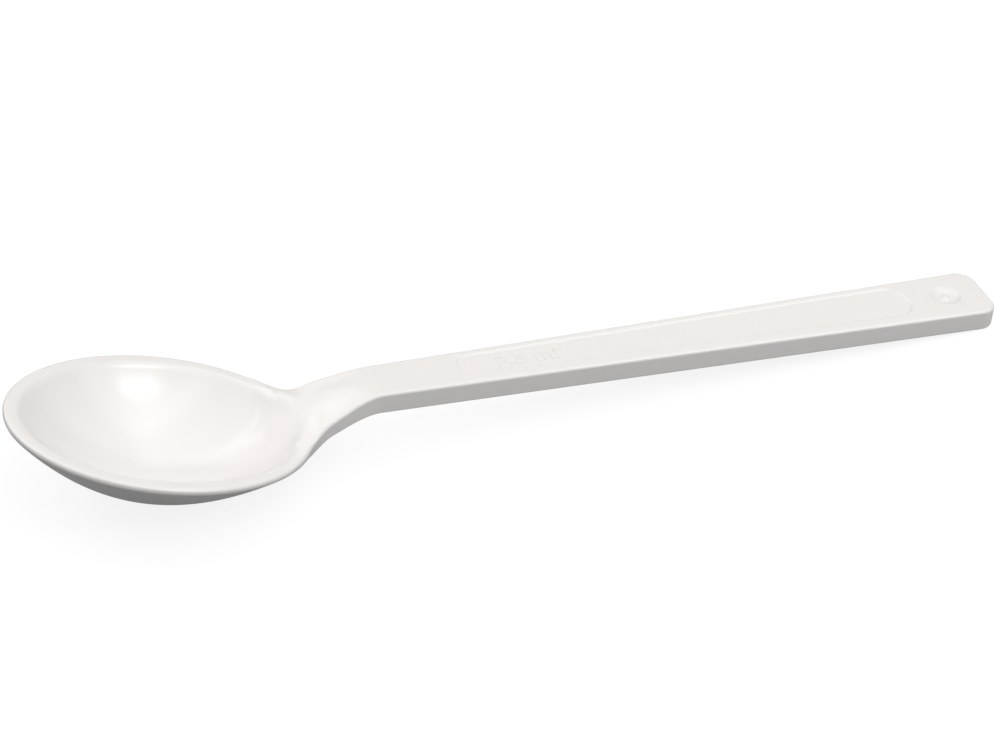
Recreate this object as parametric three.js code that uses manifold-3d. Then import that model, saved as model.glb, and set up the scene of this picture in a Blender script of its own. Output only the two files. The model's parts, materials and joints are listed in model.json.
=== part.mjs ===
// A moulded plastic sampling spoon with a 2.5 ml oval bowl, laid down as it rests on a table.
import * as THREE from 'three';
import { mergeVertices } from 'three/addons/utils/BufferGeometryUtils.js';
import Module from 'manifold-3d';

const wasm = await Module();
wasm.setup();

// Driving dimensions, in millimetres and degrees.
// They are measured in the mould's frame: the rim lies in the plane z = 0 and the bowl's tip is x = 0.
const bowlLength = 37.4;
const bowlWidth = 27.8;
const bowlDepth = 9.3; // rim plane to the lowest point of the belly
const hollowDepth = 7.8; // rim plane to the lowest point inside
const lipWidth = 1.75; // flat lip round the hollow
const rimHeight = 1; // outer wall of the lip

const flareAngle = 26; // where the neck's sides leave the oval, from its long axis
const flareDip = 50; // how steeply the flare's lower edge first runs down from the rim
const climbLength = 5.2; // the rim starts to rise this far before the root of the neck
const rootReach = 1; // end of the bowl to the root of the neck
const rootWidth = 8.8;
const rootRise = 3.45; // rim plane to the top of the root's sides
const rootSlope = 33.4;
const rootNarrowing = 15.2; // angle of the root's sides in plan
const rootThickness = 2.4;
const ribRise = 0.5; // the rib along the neck's middle stands this high over its sides
const ribFlank = 1.3; // width of the rib's sloping flanks
const ribLength = 4.2; // the rib runs this far up the neck
const tongueLength = 10.2; // the neck's top runs this far into the hollow
const gussetLength = 8.2; // the neck's underside runs this far along the belly
const neckLength = 6; // root of the neck to the handle

const handleRise = 6.62; // rim plane to the handle's top at its near end
const handleSlope = 11.7;
const handleLength = 82.75;
const handleRootWidth = 6.35;
const handleEndWidth = 9.5;
const handleThickness = 2.77;
const cornerRadius = 2.3; // far corners of the handle in plan
const edgeRadius = 0.5; // all long edges on top
const lowerRadius = 0.3; // all long edges below

const panelDepth = 0.25; // shallow recess in the handle's top
const panelMargin = 1.35; // handle's edge to the recess
const panelStart = 10.2; // neck to the recess
const panelEnd = 11.1; // recess to the handle's far end
const panelCorner = 1.7;

const dimpleDiameter = 4.3; // round recess with the stub of the moulding gate
const dimpleDepth = 0.4;
const dimpleSlant = 0.5; // how far its wall leans in
const dimpleFromEnd = 5.55;
const stubDiameter = 1.4;
const stubHeight = 0.25;

const cutOver = 0.5; // how far a cutter stands clear of the face that it enters

// Facets
const bowlSteps = 56;
const flareSteps = 5;
const acrossSteps = 12;
const hollowRings = 8;
const lipRings = 4;
const neckSteps = 8;
const cornerSteps = 5;
const edgeSteps = 2;
const dimpleSteps = 24;

// Sizes that follow from these
const { clamp, degToRad, lerp, smoothstep } = THREE.MathUtils;
const slope = (degrees) => Math.tan(degToRad(degrees));
const bowlCentre = bowlLength / 2;
const outerOval = { x: bowlLength / 2, y: bowlWidth / 2 };
const innerOval = { x: outerOval.x - lipWidth, y: outerOval.y - lipWidth };
const flareX = bowlCentre + outerOval.x * Math.cos(degToRad(flareAngle));
const flareY = outerOval.y * Math.sin(degToRad(flareAngle));
const rootX = bowlLength + rootReach;
const handleX = rootX + neckLength;
const handleTaper = (handleEndWidth - handleRootWidth) / 2 / handleLength;

const whitePlastic = new THREE.MeshStandardMaterial({ color: 0xf2efec, roughness: 0.28, metalness: 0 });

// Squared distance from the bowl's centre, 1 on the oval
function ovalShare(oval, x, y) {
  return ((x - bowlCentre) / oval.x) ** 2 + (y / oval.y) ** 2;
}

function hollowHeight(x, y) {
  return -hollowDepth * Math.max(0, 1 - ovalShare(innerOval, x, y));
}

function bellyHeight(x, y) {
  return -rimHeight - (bowlDepth - rimHeight) * Math.max(0, 1 - ovalShare(outerOval, x, y));
}

// A smooth line along x that leaves its start and meets its end at set slopes
function blendLine(startX, startValue, startSlope, endX, endValue, endSlope) {
  const third = (endX - startX) / 3;
  return new THREE.CubicBezierCurve(
    new THREE.Vector2(startX, startValue),
    new THREE.Vector2(startX + third, startValue + third * startSlope),
    new THREE.Vector2(endX - third, endValue - third * endSlope),
    new THREE.Vector2(endX, endValue),
  );
}

function valueAt(line, x) {
  return line.getPoint(clamp((x - line.v0.x) / (line.v3.x - line.v0.x), 0, 1)).y;
}

// The neck's lines: crest and underside run into the bowl, sides and edges flare into the rim
const ovalSlope = -(outerOval.y / outerOval.x) / slope(flareAngle);
const tongueX = rootX - tongueLength;
const gussetX = rootX - gussetLength;
const hollowSlope = (2 * hollowDepth * (tongueX - bowlCentre)) / innerOval.x ** 2;
const bellySlope = (2 * (bowlDepth - rimHeight) * (gussetX - bowlCentre)) / outerOval.x ** 2;
const rootUnder = rootRise - rootThickness;
const crestLine = blendLine(
  tongueX, hollowHeight(tongueX, 0), hollowSlope, rootX, rootRise + ribRise, slope(rootSlope),
);
const gussetLine = blendLine(
  gussetX, bellyHeight(gussetX, 0), bellySlope, rootX, rootUnder, slope(rootSlope),
);
const flareSide = blendLine(flareX, flareY, ovalSlope, rootX, rootWidth / 2, -slope(rootNarrowing));
const flareTop = blendLine(rootX - climbLength, 0, 0, rootX, rootRise, slope(rootSlope));
const flareUnder = blendLine(flareX, -rimHeight, -slope(flareDip), rootX, rootUnder, slope(rootSlope));
const neckTop = blendLine(rootX, rootRise, slope(rootSlope), handleX, handleRise, slope(handleSlope));
const neckSide = blendLine(
  rootX, rootWidth / 2, -slope(rootNarrowing), handleX, handleRootWidth / 2, handleTaper,
);

// 1 on the neck's rib and 0 on the lip that follows each of its sides
function ribShare(y, halfWidth, flank) {
  const foot = halfWidth - lipWidth;
  return 1 - smoothstep(Math.abs(y), foot - flank, foot);
}

// The rib starts as a broad rise in the hollow and grows its flanks as it leaves the bowl
function topHeight(x, y) {
  const bowlTop = hollowHeight(x, y) + valueAt(flareTop, x);
  const halfWidth = valueAt(flareSide, x);
  const risen = smoothstep(x, tongueX, flareX);
  const flank = lerp(halfWidth - lipWidth, ribFlank, risen);
  return lerp(bowlTop, valueAt(crestLine, x), ribShare(y, halfWidth, flank) * risen);
}

// The gusset is full along its middle and sinks into the belly at its sides and its end
function underHeight(x, y) {
  const bowlUnder = bellyHeight(x, y) + rimHeight + valueAt(flareUnder, x);
  const across = Math.min(1, Math.abs(y) / valueAt(flareSide, x));
  const share = (0.5 + 0.5 * Math.cos(Math.PI * across)) * smoothstep(x, gussetX, flareX);
  return lerp(bowlUnder, valueAt(gussetLine, x), share);
}

// Closed surface through a row of loops, ended by a fan of triangles to a point at each end
function skin(firstPoint, loops, lastPoint) {
  const count = loops[0].length;
  const points = [firstPoint, ...loops.flat(), lastPoint];
  const lastLoop = points.length - 1 - count;
  const faces = [];
  for (let i = 0; i < count; i++) {
    const next = (i + 1) % count;
    faces.push(0, 1 + i, 1 + next);
    for (let here = 1; here < lastLoop; here += count) {
      const there = here + count;
      faces.push(here + i, there + i, there + next, here + i, there + next, here + next);
    }
    faces.push(points.length - 1, lastLoop + next, lastLoop + i);
  }
  return new THREE.BufferGeometry().setFromPoints(points).setIndex(faces);
}

function middleOf(loop) {
  return loop.reduce((sum, point) => sum.add(point), new THREE.Vector3()).divideScalar(loop.length);
}

// Plan of the bowl's edge: the flare, round the tip and back along the other flare
function edgePlan() {
  const side = [];
  for (let i = 0; i < flareSteps; i++) {
    const x = lerp(rootX, flareX, i / flareSteps);
    side.push(new THREE.Vector2(x, valueAt(flareSide, x)));
  }
  const arc = [];
  for (let i = 0; i <= bowlSteps; i++) {
    const angle = degToRad(lerp(flareAngle, 360 - flareAngle, i / bowlSteps));
    arc.push(new THREE.Vector2(bowlCentre + outerOval.x * Math.cos(angle), outerOval.y * Math.sin(angle)));
  }
  const otherSide = side.map((point) => new THREE.Vector2(point.x, -point.y)).reverse();
  return [...side, ...arc, ...otherSide];
}

// The same edge moved inwards, closed by a straight line across the root of the neck
function insetLoop(plan, inset) {
  const edge = plan.map((point, i) => {
    const before = plan[i - 1];
    const after = plan[i + 1];
    if (!before || !after) {
      return new THREE.Vector2(point.x, point.y - inset * Math.sign(point.y));
    }
    const inward = after.clone().sub(before).normalize().rotateAround(new THREE.Vector2(), Math.PI / 2);
    return point.clone().addScaledVector(inward, inset);
  });
  const across = [];
  for (let i = 1; i < acrossSteps; i++) {
    across.push(edge[edge.length - 1].clone().lerp(edge[0], i / acrossSteps));
  }
  return [...edge, ...across];
}

// Angles of a loop's points: past one flare, round the bowl, then past the other flare and the neck
function loopAngles() {
  const neckStep = (2 * flareAngle) / (2 * flareSteps + acrossSteps);
  const angles = [];
  for (let i = flareSteps; i > 0; i--) {
    angles.push(flareAngle - i * neckStep);
  }
  for (let i = 0; i <= bowlSteps; i++) {
    angles.push(lerp(flareAngle, 360 - flareAngle, i / bowlSteps));
  }
  for (let i = 1; i < flareSteps + acrossSteps; i++) {
    angles.push(i * neckStep - flareAngle);
  }
  return angles.map(degToRad);
}

// Loop of the inner oval's shape, drawn in towards the bowl's centre
function ovalLoop(share) {
  return loopAngles().map((angle) => new THREE.Vector2(
    bowlCentre + share * innerOval.x * Math.cos(angle),
    share * innerOval.y * Math.sin(angle),
  ));
}

function between(fromLoop, toLoop, share) {
  return fromLoop.map((point, i) => point.clone().lerp(toLoop[i], share));
}

const raised = (loop, height) => loop.map((p) => new THREE.Vector3(p.x, p.y, height(p.x, p.y)));

// Bowl with its lip, the tongue of the neck inside and the gusset of the neck below
function bowlGeometry() {
  const plan = edgePlan();
  const topEdge = insetLoop(plan, edgeRadius);
  const lowEdge = insetLoop(plan, lowerRadius);
  const lipLoop = ovalLoop(1);
  const loops = [];
  for (let i = 1; i < hollowRings; i++) {
    loops.push(raised(ovalLoop(i / hollowRings), topHeight));
  }
  for (let i = lipRings; i > 0; i--) {
    loops.push(raised(between(topEdge, lipLoop, i / lipRings), topHeight));
  }
  for (let i = 0; i <= edgeSteps; i++) {
    const turn = (i / edgeSteps) * (Math.PI / 2);
    const drop = edgeRadius * (1 - Math.cos(turn));
    const edge = insetLoop(plan, edgeRadius * (1 - Math.sin(turn)));
    loops.push(raised(edge, (x, y) => topHeight(x, y) - drop));
  }
  for (let i = edgeSteps; i >= 0; i--) {
    const turn = (i / edgeSteps) * (Math.PI / 2);
    const lift = lowerRadius * (1 - Math.cos(turn));
    const edge = insetLoop(plan, lowerRadius * (1 - Math.sin(turn)));
    loops.push(raised(edge, (x, y) => underHeight(x, y) + lift));
  }
  for (let i = 1; i <= lipRings; i++) {
    loops.push(raised(between(lowEdge, lipLoop, i / lipRings), underHeight));
  }
  for (let i = hollowRings - 1; i > 0; i--) {
    loops.push(raised(ovalLoop(i / hollowRings), underHeight));
  }
  const hollowPole = new THREE.Vector3(bowlCentre, 0, topHeight(bowlCentre, 0));
  const bellyPole = new THREE.Vector3(bowlCentre, 0, underHeight(bowlCentre, 0));
  return skin(hollowPole, loops, bellyPole);
}

// Round-edged section across the neck or handle, hung from its top face, with any rib's points on top
function sectionLoop(top, tilt, halfWidth, thickness, rib = []) {
  const outline = [];
  for (let quarter = 0; quarter < 4; quarter++) {
    const sideways = quarter === 0 || quarter === 3 ? 1 : -1;
    const radius = quarter < 2 ? edgeRadius : lowerRadius;
    const middle = quarter < 2 ? -radius : radius - thickness;
    for (let i = 0; i <= edgeSteps; i++) {
      const turn = (quarter + i / edgeSteps) * (Math.PI / 2);
      const across = sideways * (halfWidth - radius) + radius * Math.cos(turn);
      outline.push(new THREE.Vector2(across, middle + radius * Math.sin(turn)));
    }
    if (quarter === 0) {
      outline.push(...rib);
    }
  }
  return outline.map(({ x: across, y: height }) => new THREE.Vector3(
    top.x - height * Math.sin(tilt), -across, top.z + height * Math.cos(tilt),
  ));
}

// Points across the top of a neck section, over the rib
function ribPoints(halfWidth, rise) {
  const points = [];
  for (let i = 1; i < acrossSteps; i++) {
    const across = lerp(1, -1, i / acrossSteps) * (halfWidth - edgeRadius);
    points.push(new THREE.Vector2(across, rise * ribShare(across, halfWidth, ribFlank)));
  }
  return points;
}

function loft(loops) {
  return skin(middleOf(loops[0]), loops, middleOf(loops[loops.length - 1]));
}

// Neck bending from the steep root to the handle
function neckGeometry() {
  const loops = [];
  for (let i = 0; i <= neckSteps; i++) {
    const share = i / neckSteps;
    const x = lerp(rootX, handleX, share);
    const top = new THREE.Vector3(x, 0, valueAt(neckTop, x));
    const tilt = degToRad(handleSlope) * share;
    const halfWidth = valueAt(neckSide, x);
    const thickness = lerp(rootThickness, handleThickness, share);
    const rise = ribRise * (1 - smoothstep(x, rootX, rootX + ribLength));
    loops.push(sectionLoop(top, tilt, halfWidth, thickness, ribPoints(halfWidth, rise)));
  }
  return loft(loops);
}

// Half of the handle's width, on its own axis from the neck
function handleHalfWidth(along) {
  return handleRootWidth / 2 + handleTaper * along;
}

// Tapered bar with rounded far corners
function barGeometry() {
  const stations = [{ along: 0, inset: 0 }];
  for (let i = 0; i <= cornerSteps; i++) {
    const turn = (i / cornerSteps) * (Math.PI / 2);
    stations.push({
      along: handleLength - cornerRadius * (1 - Math.sin(turn)),
      inset: cornerRadius * (1 - Math.cos(turn)),
    });
  }
  const loops = stations.map(({ along, inset }) =>
    sectionLoop(new THREE.Vector3(along, 0, 0), 0, handleHalfWidth(along) - inset, handleThickness),
  );
  return loft(loops);
}

function panelCutter() {
  const startX = panelStart;
  const endX = handleLength - panelEnd;
  const startY = handleHalfWidth(startX) - panelMargin;
  const endY = handleHalfWidth(endX) - panelMargin;
  const outline = new THREE.Shape();
  outline.moveTo(startX + panelCorner, -startY);
  outline.lineTo(endX - panelCorner, -endY);
  outline.quadraticCurveTo(endX, -endY, endX, -endY + panelCorner);
  outline.lineTo(endX, endY - panelCorner);
  outline.quadraticCurveTo(endX, endY, endX - panelCorner, endY);
  outline.lineTo(startX + panelCorner, startY);
  outline.quadraticCurveTo(startX, startY, startX, startY - panelCorner);
  outline.lineTo(startX, -startY + panelCorner);
  outline.quadraticCurveTo(startX, -startY, startX + panelCorner, -startY);
  const cutter = new THREE.ExtrudeGeometry(outline, {
    depth: panelDepth + cutOver,
    bevelEnabled: false,
    curveSegments: cornerSteps,
  });
  return cutter.translate(0, 0, -panelDepth);
}

// Ring-shaped pocket that leaves the gate's stub standing in its middle
function dimpleCutter() {
  const mouth = dimpleDiameter / 2;
  const stubTop = stubHeight - dimpleDepth;
  const profile = [
    new THREE.Vector2(0, stubTop),
    new THREE.Vector2(stubDiameter / 2, stubTop),
    new THREE.Vector2(stubDiameter / 2, -dimpleDepth),
    new THREE.Vector2(mouth - dimpleSlant, -dimpleDepth),
    new THREE.Vector2(mouth, 0),
    new THREE.Vector2(mouth, cutOver),
    new THREE.Vector2(0, cutOver),
  ];
  const cutter = new THREE.LatheGeometry(profile, dimpleSteps).rotateX(Math.PI / 2);
  return cutter.translate(handleLength - dimpleFromEnd, 0, 0);
}

// Solids for cutting, and back again
function asSolid(geometry) {
  const bare = geometry.clone();
  bare.deleteAttribute('normal');
  bare.deleteAttribute('uv');
  const merged = mergeVertices(bare, 1e-4);
  const corners = [...merged.index.array];
  const triVerts = [];
  for (let i = 0; i < corners.length; i += 3) {
    const [a, b, c] = corners.slice(i, i + 3);
    if (a !== b && b !== c && c !== a) {
      triVerts.push(a, b, c);
    }
  }
  return new wasm.Manifold(new wasm.Mesh({
    numProp: 3,
    vertProperties: new Float32Array(merged.attributes.position.array),
    triVerts: new Uint32Array(triVerts),
  }));
}

function asGeometry(solid) {
  const mesh = solid.getMesh();
  const geometry = new THREE.BufferGeometry();
  geometry.setAttribute('position', new THREE.BufferAttribute(mesh.vertProperties, 3));
  return geometry.setIndex(new THREE.BufferAttribute(mesh.triVerts, 1));
}

function handleGeometry() {
  const bar = asSolid(barGeometry());
  return asGeometry(bar.subtract(asSolid(panelCutter())).subtract(asSolid(dimpleCutter())));
}

function piece(name, geometry) {
  geometry.computeVertexNormals();
  const mesh = new THREE.Mesh(geometry, whitePlastic);
  mesh.name = name;
  return mesh;
}

const bowl = piece('bowl', bowlGeometry());
const neck = piece('neck', neckGeometry());
const handle = piece('handle', handleGeometry());
handle.position.set(handleX, 0, handleRise);
handle.rotation.y = -degToRad(handleSlope);

// Angle of the line from the handle's lower far edge that just touches the belly
function restAngle() {
  const tilt = degToRad(handleSlope);
  const endX = handleX + handleLength * Math.cos(tilt) + handleThickness * Math.sin(tilt);
  const endZ = handleRise + handleLength * Math.sin(tilt) - handleThickness * Math.cos(tilt);
  const curvature = (bowlDepth - rimHeight) / outerOval.x ** 2;
  const reach = endX - bowlCentre;
  const touch = reach - Math.sqrt(reach ** 2 - (endZ + bowlDepth) / curvature);
  return Math.atan(2 * curvature * touch);
}

// Lay the spoon on its belly and handle end, with its middle over the origin
const spoon = new THREE.Group();
spoon.add(bowl, neck, handle);
spoon.rotation.y = restAngle();
spoon.updateMatrixWorld(true);
const box = new THREE.Box3().setFromObject(spoon, true);
spoon.position.set(-(box.min.x + box.max.x) / 2, 0, -box.min.z);

export default spoon;
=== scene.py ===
import json
from math import atan2, cos, pi, radians, sin, tan

import bmesh
import bpy
from mathutils import Euler, Matrix, Vector


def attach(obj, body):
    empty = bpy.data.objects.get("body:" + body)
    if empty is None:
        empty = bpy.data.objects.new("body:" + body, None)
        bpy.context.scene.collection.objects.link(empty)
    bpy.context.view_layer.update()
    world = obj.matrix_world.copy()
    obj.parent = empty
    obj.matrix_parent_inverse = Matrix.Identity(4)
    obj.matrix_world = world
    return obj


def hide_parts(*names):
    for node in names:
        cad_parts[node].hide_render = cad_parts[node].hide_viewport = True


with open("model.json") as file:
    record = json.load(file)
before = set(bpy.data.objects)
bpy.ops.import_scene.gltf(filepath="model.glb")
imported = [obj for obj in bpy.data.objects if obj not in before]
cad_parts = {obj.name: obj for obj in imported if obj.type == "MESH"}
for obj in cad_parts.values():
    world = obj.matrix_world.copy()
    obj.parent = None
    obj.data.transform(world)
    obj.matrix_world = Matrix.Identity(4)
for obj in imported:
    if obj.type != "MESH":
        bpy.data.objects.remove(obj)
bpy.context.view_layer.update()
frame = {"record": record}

mm = 0.001

# The spoon is drawn in its mould's frame, in millimetres: rim in the plane z = 0, tip of the bowl at x = 0
bowl = {
    "length": 37.4,
    "width": 27.8,
    "depth": 9.3,         # rim to the lowest point of the belly
    "hollow": 7.8,        # rim to the lowest point inside
    "lip": 1.75,          # flat lip round the hollow
    "lipSoftness": 0.06,  # share of the hollow over which its edge rolls over to the lip
    "rim": 0.7,           # outer wall of the lip
    "steps": 144,         # points round the tip
    "lipShares": (0.36, 0.5, 0.62, 0.72, 0.8, 0.87, 0.94, 1),  # rings from the edge in to the hollow
    "hollowRings": 24,
}
bowl["centre"] = bowl["length"] / 2
bowl["belly"] = bowl["depth"] - bowl["rim"]
outerOval = Vector((bowl["length"] / 2, bowl["width"] / 2))
innerOval = outerOval - Vector((bowl["lip"], bowl["lip"]))

neck = {
    "flareAngle": 28,     # where its sides leave the oval, degrees
    "flareDip": 36,       # how steeply the flare's lower edge first runs down from the rim
    "climb": 7.0,         # the rim starts to rise this far before the root
    "reach": 1.0,         # end of the bowl to the root
    "width": 8.8,         # at the root
    "rise": 3.45,         # rim to the top of the root's sides
    "slope": 33.4,        # degrees, there
    "narrowing": 15.2,    # angle of the sides in plan
    "thickness": 2.4,
    "crown": 0.4,         # its top is this much higher along the middle
    "crownFoot": 9.0,     # half width of that crown where it leaves the hollow
    "crownStart": 3.0,    # which is this far before the flare
    "crownMargin": 0.6,   # sides of the neck to the crown
    "crownLength": 5.0,   # the crown fades out this far up the neck
    "scoop": 0.5,         # softness of the line where its ramp meets the hollow
    "droop": 0.85,        # the lip's outer edge hangs this much where the flare starts
    "droopLength": 2.9,   # on either side of that place
    "droopEdge": 0.3,     # how fast it fades in towards the hollow
    "tongue": 10.2,       # its top runs this far into the hollow
    "gusset": 8.2,        # its underside runs this far along the belly
    "length": 6.0,        # root to handle
    "flareSteps": 10,
    "bow": 1.2,           # the first section bows this far back into the bowl
    "holdBack": 4.5,      # the hollow's rings are held back from this far before the flare
    "holdShare": 0.42,    # by this share of the way
    "acrossSteps": 26,
    "edgeRoom": 0.2,      # share of the half width that is kept clear for the round edges
    "steps": 18,
}
neck["rootX"] = bowl["length"] + neck["reach"]

handle = {
    "rise": 6.62,         # rim to its top at the neck
    "slope": 11.7,
    "length": 82.45,
    "rootWidth": 6.35,
    "endWidth": 9.5,
    "thickness": 2.77,
    "cornerRadius": 2.3,
    "cornerSteps": 12,
    "level": 0.999,       # a face that points up at least this much belongs to the flat top
}
handle["x"] = neck["rootX"] + neck["length"]
handle["taper"] = (handle["endWidth"] - handle["rootWidth"]) / 2 / handle["length"]

edges = {
    "top": 0.42,          # rounding of the whole outline on top
    "low": 0.22,          # and below
    "segments": 5,
}


def ease(line, x):
    # smooth value along x: (x, value, slope) at the start and at the end
    (startX, start, startSlope), (endX, end, endSlope) = line
    span = endX - startX
    t = min(1, max(0, (x - startX) / span))
    startPart = (2 * t - 3) * t * t + 1
    return (startPart * start + (1 - startPart) * end
            + (t - 1) ** 2 * t * span * startSlope + (t - 1) * t * t * span * endSlope)


def smoothStep(x, low, high):
    t = min(1, max(0, (x - low) / (high - low)))
    return t * t * (3 - 2 * t)


def mix(a, b, share):
    return a + (b - a) * share


def dish(oval, x, y):
    # 1 in the middle of an oval, 0 on it, less outside
    return 1 - ((x - bowl["centre"]) / oval.x) ** 2 - (y / oval.y) ** 2


def dishSlope(oval, depth, x):
    return 2 * depth * (x - bowl["centre"]) / oval.x ** 2


def hollowHeight(x, y):
    share = dish(innerOval, x, y)
    soft = bowl["lipSoftness"]
    if abs(share) < soft:
        share = (share + soft) ** 2 / (4 * soft)
    return -bowl["hollow"] * max(0, share)


def bellyHeight(x, y):
    return -bowl["belly"] * max(0, dish(outerOval, x, y))


def neckLines():
    flare = radians(neck["flareAngle"])
    flareX = bowl["centre"] + outerOval.x * cos(flare)
    flareY = outerOval.y * sin(flare)
    rootX = neck["rootX"]
    tongueX = rootX - neck["tongue"]
    gussetX = rootX - neck["gusset"]
    rootSlope = tan(radians(neck["slope"]))
    rootTop = (rootX, neck["rise"], rootSlope)
    rootCrest = (rootX, neck["rise"] + neck["crown"], rootSlope)
    rootUnder = (rootX, neck["rise"] - neck["thickness"], rootSlope)
    rootSide = (rootX, neck["width"] / 2, -tan(radians(neck["narrowing"])))
    ovalSlope = -outerOval.y / outerOval.x / tan(flare)
    handleSlope = tan(radians(handle["slope"]))
    tongueSlope = dishSlope(innerOval, bowl["hollow"], tongueX)
    gussetSlope = dishSlope(outerOval, bowl["belly"], gussetX)
    return {
        "flareX": flareX,
        "tongueX": tongueX,
        "gussetX": gussetX,
        "crest": ((tongueX, hollowHeight(tongueX, 0), tongueSlope), rootCrest),
        "gusset": ((gussetX, bellyHeight(gussetX, 0) - bowl["rim"], gussetSlope), rootUnder),
        "flareSide": ((flareX, flareY, ovalSlope), rootSide),
        "crownFoot": ((flareX - neck["crownStart"], neck["crownFoot"], 0),
                      (rootX, neck["width"] / 2 - neck["crownMargin"], rootSide[2])),
        "flareTop": ((rootX - neck["climb"], 0, 0), rootTop),
        "flareUnder": ((flareX, -bowl["rim"], -tan(radians(neck["flareDip"]))), rootUnder),
        "top": (rootTop, (handle["x"], handle["rise"], handleSlope)),
        "side": (rootSide, (handle["x"], handle["rootWidth"] / 2, handle["taper"])),
    }


lines = neckLines()


def bump(distance, reach):
    return 1 - smoothStep(abs(distance), 0, reach)


def higher(a, b, soft):
    # the larger of the two, with a round corner where they meet
    near = max(0, soft - abs(a - b))
    return max(a, b) + near * near / (4 * soft)


def topHeight(x, y):
    # the lip hangs a little where the flare starts, and the neck's crown rises out of the hollow over it
    hang = neck["droop"] * bump(x - lines["flareX"], neck["droopLength"])
    outside = smoothStep(-dish(innerOval, x, y), 0, neck["droopEdge"])
    bowlTop = hollowHeight(x, y) + ease(lines["flareTop"], x) - hang * outside
    ramp = higher(bowlTop, ease(lines["crest"], x), neck["scoop"])
    risen = smoothStep(x, lines["tongueX"], lines["flareX"])
    return mix(bowlTop, ramp, bump(y, ease(lines["crownFoot"], x)) * risen)


def underHeight(x, y):
    bowlUnder = bellyHeight(x, y) + ease(lines["flareUnder"], x)
    across = min(1, abs(y) / ease(lines["flareSide"], x))
    share = (0.5 + 0.5 * cos(pi * across)) * smoothStep(x, lines["gussetX"], lines["flareX"])
    return mix(bowlUnder, ease(lines["gusset"], x), share)


# Plans of the rings, as lists of points that all run the same way round
def acrossShares():
    # from one side of the neck to the other, with the points off the edges
    inner = neck["acrossSteps"] - 2
    clear = 1 - neck["edgeRoom"]
    return [-1] + [clear * (2 * i / inner - 1) for i in range(inner + 1)] + [1]


def bowlAngles():
    first = neck["flareAngle"]
    return [radians(mix(first, 360 - first, i / bowl["steps"])) for i in range(bowl["steps"] + 1)]


def flareRow(x):
    # a row from side to side that bows back into the bowl where the flare starts
    bow = neck["bow"] * smoothStep(x, neck["rootX"], lines["flareX"])
    half = ease(lines["flareSide"], x)
    return [Vector((x - bow * (1 - share * share), half * share)) for share in acrossShares()]


def edgePlan():
    arc = [Vector((bowl["centre"] + outerOval.x * cos(a), outerOval.y * sin(a))) for a in bowlAngles()]
    return arc, flareRow(lines["flareX"])[1:-1]


def ovalPlan(share):
    # the oval of the hollow, held back a little where the neck's sections start
    first = radians(neck["flareAngle"])
    step = 2 * first / neck["acrossSteps"]
    angles = bowlAngles() + [i * step - first for i in range(1, neck["acrossSteps"])]
    plan = []
    for a in angles:
        x = bowl["centre"] + share * innerOval.x * cos(a)
        held = max(0, x - lines["flareX"] + neck["holdBack"])
        plan.append(Vector((x - held * neck["holdShare"], share * innerOval.y * sin(a))))
    return plan


def lifted(plan, height):
    return [Vector((p.x, p.y, height(p.x, p.y))) for p in plan]


# Rings of vertices: the first from a circle, the rest pulled from the one before
def firstRing(bm, places):
    ring = bmesh.ops.create_circle(bm, segments=len(places), radius=1)["verts"]
    for vert, place in zip(ring, places):
        vert.co = place
    return ring


def ringEdges(bm, ring):
    return [bm.edges.get((ring[i - 1], ring[i])) for i in range(len(ring))]


def pullRing(bm, ring, places):
    pulled = bmesh.ops.extrude_edge_only(bm, edges=ringEdges(bm, ring))["geom"]
    fresh = {item for item in pulled if isinstance(item, bmesh.types.BMVert)}
    nextRing = []
    for vert, place in zip(ring, places):
        other = next(e.other_vert(vert) for e in vert.link_edges if e.other_vert(vert) in fresh)
        other.co = place
        nextRing.append(other)
    return nextRing


def closeBowl(bm, edgeRing, plan, height):
    # in from the edge over the lip, then down to the middle of the bowl
    lipPlan = ovalPlan(1)
    ring = edgeRing
    for share in bowl["lipShares"]:
        ring = pullRing(bm, ring, lifted([a.lerp(b, share) for a, b in zip(plan, lipPlan)], height))
    for i in range(bowl["hollowRings"] - 1, 0, -1):
        ring = pullRing(bm, ring, lifted(ovalPlan(sin(pi / 2 * i / bowl["hollowRings"])), height))
    pole = Vector((bowl["centre"], 0, height(bowl["centre"], 0)))
    bmesh.ops.pointmerge(bm, verts=pullRing(bm, ring, [pole] * len(ring)), merge_co=pole)


def makeBowl(bm):
    edge, across = edgePlan()
    plan = edge + across
    topEdge = firstRing(bm, lifted(plan, topHeight))
    lowEdge = pullRing(bm, topEdge, lifted(plan, underHeight))
    closeBowl(bm, topEdge, plan, topHeight)
    closeBowl(bm, lowEdge, plan, underHeight)
    # open the bowl where the flare starts, and hand on that opening and the two outlines
    last = len(edge) - 1
    root = topEdge[last:] + topEdge[:1] + (lowEdge[last:] + lowEdge[:1])[::-1]
    rootFaces = [f for f in bm.faces if all(v in root for v in f.verts)]
    bmesh.ops.delete(bm, geom=rootFaces, context="FACES")
    return root, topEdge[:last + 1], lowEdge[:last + 1]


def handleHalfWidth(along):
    return handle["rootWidth"] / 2 + handle["taper"] * along


def handleFrame():
    # handle's own frame: x along it from the neck, z up from its top face
    turned = Matrix.Rotation(-radians(handle["slope"]), 4, "Y")
    return Matrix.Translation((handle["x"], 0, handle["rise"])) @ turned


def sectionPlaces(place, half, thickness, crown=0):
    # top of a section with its crown, then its underside the other way
    shares = acrossShares()
    foot = half - neck["crownMargin"]
    top = [Vector((0, y * half, crown * bump(y * half, foot))) for y in shares]
    under = [Vector((0, y * half, -thickness)) for y in reversed(shares)]
    return [place @ point for point in top + under]


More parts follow.
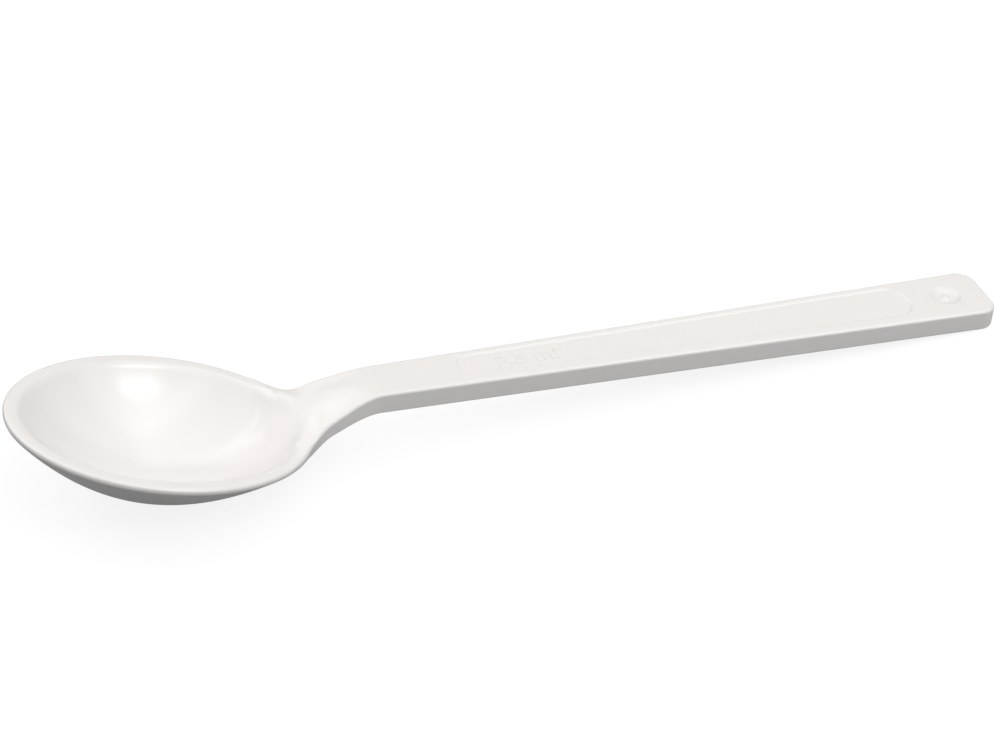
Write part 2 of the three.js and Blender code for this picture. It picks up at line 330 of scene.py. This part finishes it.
def makeNeck(bm, bowlEnd):
    # sections of the flare, then of the neck
    rings = []
    ring = bowlEnd
    for i in range(1, neck["flareSteps"] + 1):
        x = mix(lines["flareX"], neck["rootX"], i / neck["flareSteps"])
        row = flareRow(x)
        ring = pullRing(bm, ring, lifted(row, topHeight) + lifted(row[::-1], underHeight))
        rings.append(ring)
    for i in range(1, neck["steps"] + 1):
        share = i / neck["steps"]
        x = neck["rootX"] + neck["length"] * share
        thickness = mix(neck["thickness"], handle["thickness"], share)
        crown = neck["crown"] * bump(x - neck["rootX"], neck["crownLength"])
        turned = Matrix.Rotation(-radians(handle["slope"]) * share, 4, "Y")
        place = Matrix.Translation((x, 0, ease(lines["top"], x))) @ turned
        ring = pullRing(bm, ring, sectionPlaces(place, ease(lines["side"], x), thickness, crown))
        rings.append(ring)
    return rings


def makeHandle(bm, neckEnd):
    rings = []
    ring = neckEnd
    radius = handle["cornerRadius"]
    for i in range(handle["cornerSteps"] + 1):
        turn = pi / 2 * i / handle["cornerSteps"]
        along = handle["length"] - radius * (1 - sin(turn))
        half = handleHalfWidth(along) - radius * (1 - cos(turn))
        place = handleFrame() @ Matrix.Translation((along, 0, 0))
        ring = pullRing(bm, ring, sectionPlaces(place, half, handle["thickness"]))
        rings.append(ring)
    bmesh.ops.contextual_create(bm, geom=ringEdges(bm, ring))
    # the top and the underside become one flat face each
    corner = neck["acrossSteps"]
    for row in (slice(0, corner + 1), slice(corner + 1, None)):
        flat = {v for r in [neckEnd] + rings for v in r[row]}
        bmesh.ops.dissolve_faces(bm, faces=[f for f in bm.faces if all(v in flat for v in f.verts)])
    bmesh.ops.dissolve_verts(bm, verts=ring[1:corner] + ring[corner + 2:-1])
    return rings


def roundEdges(bm, outline, radius):
    rim = set(outline)
    chosen = [e for e in bm.edges if all(v in rim for v in e.verts)]
    bmesh.ops.bevel(bm, geom=chosen, offset=radius, offset_type="OFFSET", segments=edges["segments"],
                    profile=0.5, affect="EDGES", material=-1, clamp_overlap=True)


panel = {
    "start": 10.2,        # neck to recess
    "end": 10.8,          # recess to the handle's far end
    "margin": 1.3,        # handle's side to recess
    "offCentre": 0.35,    # it lies this far towards the far side
    "startCorner": 1.6,
    "endCorner": 2.5,
    "cornerSteps": 8,
    "wall": 0.3,          # width of its sloping wall
    "depth": 0.2,
    "wallSteps": 4,
}

dimple = {
    "fromEnd": 5.55,
    "radius": 2.1,
    "segments": 64,
    # width and drop of each ring, from the mouth in to the stub of the gate
    "rings": [(0.08, -0.01), (0.1, -0.05), (0.15, -0.1), (0.25, -0.1), (0.4, -0.09), (0.45, -0.04),
              (0.1, 0.03), (0.08, 0.1), (0.08, 0.05), (0.12, 0.02)],
}


def sinkFace(bm, face, rings, up):
    face.normal_update()
    if face.normal.dot(up) < 0:
        face.normal_flip()
    for width, drop in rings:
        bmesh.ops.inset_individual(bm, faces=[face], thickness=width, depth=drop, use_even_offset=True)


def makePanel(bm, place, up):
    startX = panel["start"]
    endX = handle["length"] - panel["end"]
    startY = handleHalfWidth(startX) - panel["margin"]
    endY = handleHalfWidth(endX) - panel["margin"]
    corners = bmesh.ops.create_grid(bm, x_segments=1, y_segments=1, size=1)["verts"]
    ends = {
        "startCorner": [v for v in corners if v.co.x < 0],
        "endCorner": [v for v in corners if v.co.x > 0],
    }
    for v in corners:
        x, y = (endX, endY) if v.co.x > 0 else (startX, startY)
        v.co = place @ Vector((x, panel["offCentre"] + (y if v.co.y > 0 else -y), 0))
    for radius, verts in ends.items():
        rounded = bmesh.ops.bevel(bm, geom=verts, offset=panel[radius], offset_type="OFFSET",
                                  segments=panel["cornerSteps"], profile=0.5, affect="VERTICES", material=-1)
    count = panel["wallSteps"]
    levels = [-panel["depth"] * smoothStep(i / count, 0, 1) for i in range(count + 1)]
    rings = [(panel["wall"] / count, levels[i + 1] - levels[i]) for i in range(count)]
    sinkFace(bm, rounded["verts"][0].link_faces[0], rings, up)


def makeDimple(bm, place, up):
    ring = bmesh.ops.create_circle(bm, cap_ends=True, segments=dimple["segments"], radius=dimple["radius"])
    face = ring["verts"][0].link_faces[0]
    centre = Matrix.Translation((handle["length"] - dimple["fromEnd"], 0, 0))
    bmesh.ops.transform(bm, matrix=place @ centre, verts=ring["verts"])
    sinkFace(bm, face, dimple["rings"], up)


def dressHandleTop(bm):
    # the flat top is opened, the recess and the dimple are set in it, and it is filled again round them
    place = handleFrame()
    up = place.to_3x3() @ Vector((0, 0, 1))
    flat = max((f for f in bm.faces if f.normal.dot(up) > handle["level"]), key=lambda f: f.calc_area())
    bmesh.ops.delete(bm, geom=[flat], context="FACES_ONLY")
    makePanel(bm, place, up)
    makeDimple(bm, place, up)
    rims = [e for e in bm.edges if e.is_boundary]
    bmesh.ops.triangle_fill(bm, edges=rims, use_beauty=True, normal=up)


def layDown(bm):
    # turn from the mould's frame to the table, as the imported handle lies
    axis = next(m["axis"] for m in frame["record"]["mounts"] if m["name"] == "handle_panel")
    tilt = radians(handle["slope"]) + atan2(axis[0], axis[2])
    turned = Matrix.Scale(mm, 4) @ Matrix.Rotation(tilt, 4, "Y")
    bmesh.ops.transform(bm, matrix=turned, verts=bm.verts)
    xs = [v.co.x for v in bm.verts]
    shift = Vector((-(min(xs) + max(xs)) / 2, 0, -min(v.co.z for v in bm.verts)))
    bmesh.ops.translate(bm, vec=shift, verts=bm.verts)
    return Matrix.Translation(shift) @ turned


def makeSpoon():
    bm = bmesh.new()
    root, topOutline, lowOutline = makeBowl(bm)
    neckRings = makeNeck(bm, root)
    handleRings = makeHandle(bm, neckRings[-1])
    corner = neck["acrossSteps"]
    for ring in neckRings + handleRings:
        topOutline += [ring[0], ring[corner]]
        lowOutline += [ring[corner + 1], ring[-1]]
    bmesh.ops.recalc_face_normals(bm, faces=bm.faces)
    roundEdges(bm, topOutline, edges["top"])
    roundEdges(bm, lowOutline, edges["low"])
    bm.normal_update()
    dressHandleTop(bm)
    bmesh.ops.recalc_face_normals(bm, faces=bm.faces)
    toTable = layDown(bm)
    for face in bm.faces:
        face.smooth = True
    openEdges = sum(not e.is_manifold for e in bm.edges)
    mesh = bpy.data.meshes.new("spoonMesh")
    bm.to_mesh(mesh)
    bm.free()
    spoon = bpy.data.objects.new("spoon", mesh)
    bpy.context.collection.objects.link(spoon)
    spoon.modifiers.new("flatFaces", "WEIGHTED_NORMAL")
    print("spoon made:", len(mesh.polygons), "faces,", openEdges, "open edges")
    return spoon, toTable


mark = {
    "text": "2.5 ml",
    "size": 2.9,
    "stretch": 1.17,
    "along": 15.0,        # neck to its first figure
    "side": -0.7,         # its foot, from the handle's middle line
    "thickness": 0.02,    # half of it is sunk in the recess's floor
    "edgeRound": 0.05,
    "roundSteps": 2,
    "mergeWithin": 1e-5,
}


def makeMark(toTable):
    # raised capacity mark in the recess
    letters = bpy.data.curves.new("letters", "FONT")
    letters.body = mark["text"]
    letters.size = mark["size"]
    letters.extrude = mark["thickness"]
    letters.bevel_depth = mark["edgeRound"]
    letters.bevel_resolution = mark["roundSteps"]
    drawn = bpy.data.objects.new("letters", letters)
    bpy.context.collection.objects.link(drawn)
    mesh = bpy.data.meshes.new_from_object(drawn.evaluated_get(bpy.context.evaluated_depsgraph_get()))
    bpy.data.objects.remove(drawn)
    bm = bmesh.new()
    bm.from_mesh(mesh)
    bmesh.ops.remove_doubles(bm, verts=bm.verts, dist=mark["mergeWithin"])
    bmesh.ops.recalc_face_normals(bm, faces=bm.faces)
    start = Matrix.Translation((mark["along"], mark["side"], -panel["depth"]))
    start @= Matrix.Diagonal((mark["stretch"], 1, 1, 1))
    bmesh.ops.transform(bm, matrix=toTable @ handleFrame() @ start, verts=bm.verts)
    bm.to_mesh(mesh)
    bm.free()
    mesh.name = "capacityMarkMesh"
    piece = bpy.data.objects.new("capacityMark", mesh)
    bpy.context.collection.objects.link(piece)
    print("mark made:", len(mesh.polygons), "faces")
    return piece


plastic = {
    "colour": (0.8, 0.769, 0.75),
    "shade": (0.79, 0.759, 0.74),
    "roughness": (0.19, 0.24),
    "ior": 1.59,
    "cloudScale": 60,     # slow change of colour and gloss
    "cloudDetail": 4,
    "skinScale": 900,     # fine unevenness of the moulded skin
    "skinDetail": 3,
    "skinStrength": 0.06,
    "skinHeight": 0.0001,
}


def whitePlastic():
    material = bpy.data.materials.new("whitePlastic")
    material.use_nodes = True
    nodes = material.node_tree.nodes
    links = material.node_tree.links
    shader = nodes["Principled BSDF"]
    shader.inputs["IOR"].default_value = plastic["ior"]
    where = nodes.new("ShaderNodeTexCoord")
    cloud = nodes.new("ShaderNodeTexNoise")
    cloud.inputs["Scale"].default_value = plastic["cloudScale"]
    cloud.inputs["Detail"].default_value = plastic["cloudDetail"]
    tint = nodes.new("ShaderNodeMix")
    tint.data_type = "RGBA"
    tint.inputs["A"].default_value = (*plastic["shade"], 1)
    tint.inputs["B"].default_value = (*plastic["colour"], 1)
    gloss = nodes.new("ShaderNodeMapRange")
    gloss.inputs["To Min"].default_value = plastic["roughness"][0]
    gloss.inputs["To Max"].default_value = plastic["roughness"][1]
    skin = nodes.new("ShaderNodeTexNoise")
    skin.inputs["Scale"].default_value = plastic["skinScale"]
    skin.inputs["Detail"].default_value = plastic["skinDetail"]
    relief = nodes.new("ShaderNodeBump")
    relief.inputs["Strength"].default_value = plastic["skinStrength"]
    relief.inputs["Distance"].default_value = plastic["skinHeight"]
    links.new(where.outputs["Object"], cloud.inputs["Vector"])
    links.new(where.outputs["Object"], skin.inputs["Vector"])
    links.new(cloud.outputs["Fac"], tint.inputs["Factor"])
    links.new(tint.outputs["Result"], shader.inputs["Base Color"])
    links.new(cloud.outputs["Fac"], gloss.inputs["Value"])
    links.new(gloss.outputs["Result"], shader.inputs["Roughness"])
    links.new(skin.outputs["Fac"], relief.inputs["Height"])
    links.new(relief.outputs["Normal"], shader.inputs["Normal"])
    return material


studio = {
    "world": 0.25,
    "worldColour": (0.9, 0.95, 1),
    "floorSize": 10,
    "floorColour": 0.18,
    "floorRoughness": 0.9,
    "floorGlow": 0.85,
    "reflectedGlow": 0.2,   # the floor mirrored in the spoon lies mostly in its shadow
    # place, size, power, colour and turn about its own axis
    "lamps": {
        "overhead": ((0, 0, 0.9), (1.4, 1.4), 5.85, (1, 1, 1), 0),
        "front": ((0.41, -0.57, 0.6), (1.0, 1.0), 4.15, (0.98, 1, 0.98), 0),
        "key": ((0.404, -0.536, 0.6), (0.3, 0.1), 0.8, (1, 1, 1), -34.6),
        "back": ((-0.42, 0.6, 0.55), (0.9, 0.9), 3.3, (1, 0.95, 0.92), 0),
        "strip": ((-0.33, 0.59, 0.57), (0.05, 0.45), 0.2, (1, 1, 1), 22),
        "right": ((0.8, 0, 0.45), (0.6, 0.6), 0.35, (1, 1, 1), 0),
    },
}


def makeFloor():
    bm = bmesh.new()
    bmesh.ops.create_grid(bm, x_segments=1, y_segments=1, size=studio["floorSize"])
    mesh = bpy.data.meshes.new("floorMesh")
    bm.to_mesh(mesh)
    bm.free()
    floor = bpy.data.objects.new("floor", mesh)
    bpy.context.collection.objects.link(floor)
    material = bpy.data.materials.new("palePaper")
    material.use_nodes = True
    nodes = material.node_tree.nodes
    links = material.node_tree.links
    shader = nodes["Principled BSDF"]
    shader.inputs["Base Color"].default_value = (*[studio["floorColour"]] * 3, 1)
    shader.inputs["Roughness"].default_value = studio["floorRoughness"]
    shader.inputs["Specular IOR Level"].default_value = 0
    # lifts the paper to white where it is seen, straight or in a reflection, and keeps the shadow
    path = nodes.new("ShaderNodeLightPath")
    either = nodes.new("ShaderNodeMath")
    either.operation = "MAXIMUM"
    reflected = nodes.new("ShaderNodeMath")
    reflected.operation = "MULTIPLY"
    reflected.inputs[1].default_value = studio["reflectedGlow"]
    glow = nodes.new("ShaderNodeMath")
    glow.operation = "MULTIPLY_ADD"
    glow.inputs[1].default_value = studio["floorGlow"]
    links.new(path.outputs["Is Glossy Ray"], either.inputs[0])
    links.new(path.outputs["Is Transmission Ray"], either.inputs[1])
    links.new(either.outputs["Value"], reflected.inputs[0])
    links.new(path.outputs["Is Camera Ray"], glow.inputs[0])
    links.new(reflected.outputs["Value"], glow.inputs[2])
    shader.inputs["Emission Color"].default_value = (1, 1, 1, 1)
    links.new(glow.outputs["Value"], shader.inputs["Emission Strength"])
    mesh.materials.append(material)


def makeLights():
    world = bpy.data.worlds.new("studio")
    world.use_nodes = True
    world.node_tree.nodes["Background"].inputs["Color"].default_value = (*studio["worldColour"], 1)
    world.node_tree.nodes["Background"].inputs["Strength"].default_value = studio["world"]
    bpy.context.scene.world = world
    for name, (place, size, power, colour, turn) in studio["lamps"].items():
        light = bpy.data.lights.new(name, "AREA")
        light.shape = "RECTANGLE"
        light.size, light.size_y = size
        light.energy = power
        light.color = colour
        holder = bpy.data.objects.new(name, light)
        holder.location = place
        facing = (-Vector(place)).to_track_quat("-Z", "Y").to_matrix()
        holder.rotation_euler = (facing @ Matrix.Rotation(radians(turn), 3, "Z")).to_euler()
        bpy.context.collection.objects.link(holder)


view = {
    "azimuth": -19.487,   # degrees, 0 looks along +Y
    "elevation": 36.755,
    "roll": -0.147,
    "aim": (-0.004447, -0.003347, 0.008389),
    "distance": 0.31446,
    "lens": 93.76,
    "sensor": 36,
    "nearest": 0.01,
}


def makeCamera():
    camera = bpy.data.objects.new("camera", bpy.data.cameras.new("camera"))
    camera.data.sensor_width = view["sensor"]
    camera.data.lens = view["lens"]
    camera.data.clip_start = view["nearest"]
    facing = Euler((pi / 2 - radians(view["elevation"]), 0, radians(view["azimuth"]))).to_matrix()
    back = facing @ Vector((0, 0, 1))
    camera.location = Vector(view["aim"]) + back * view["distance"]
    camera.rotation_euler = (facing @ Matrix.Rotation(radians(view["roll"]), 3, "Z")).to_euler()
    bpy.context.collection.objects.link(camera)
    bpy.context.scene.camera = camera


makeCamera()
makeLights()
makeFloor()
print("studio ready")

spoon, toTable = makeSpoon()
capacityMark = makeMark(toTable)
finish = whitePlastic()
for piece in (spoon, capacityMark):
    piece.data.materials.append(finish)
    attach(piece, "root")
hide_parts("bowl", "neck", "handle")

bpy.context.scene.view_settings.view_transform = "Standard"
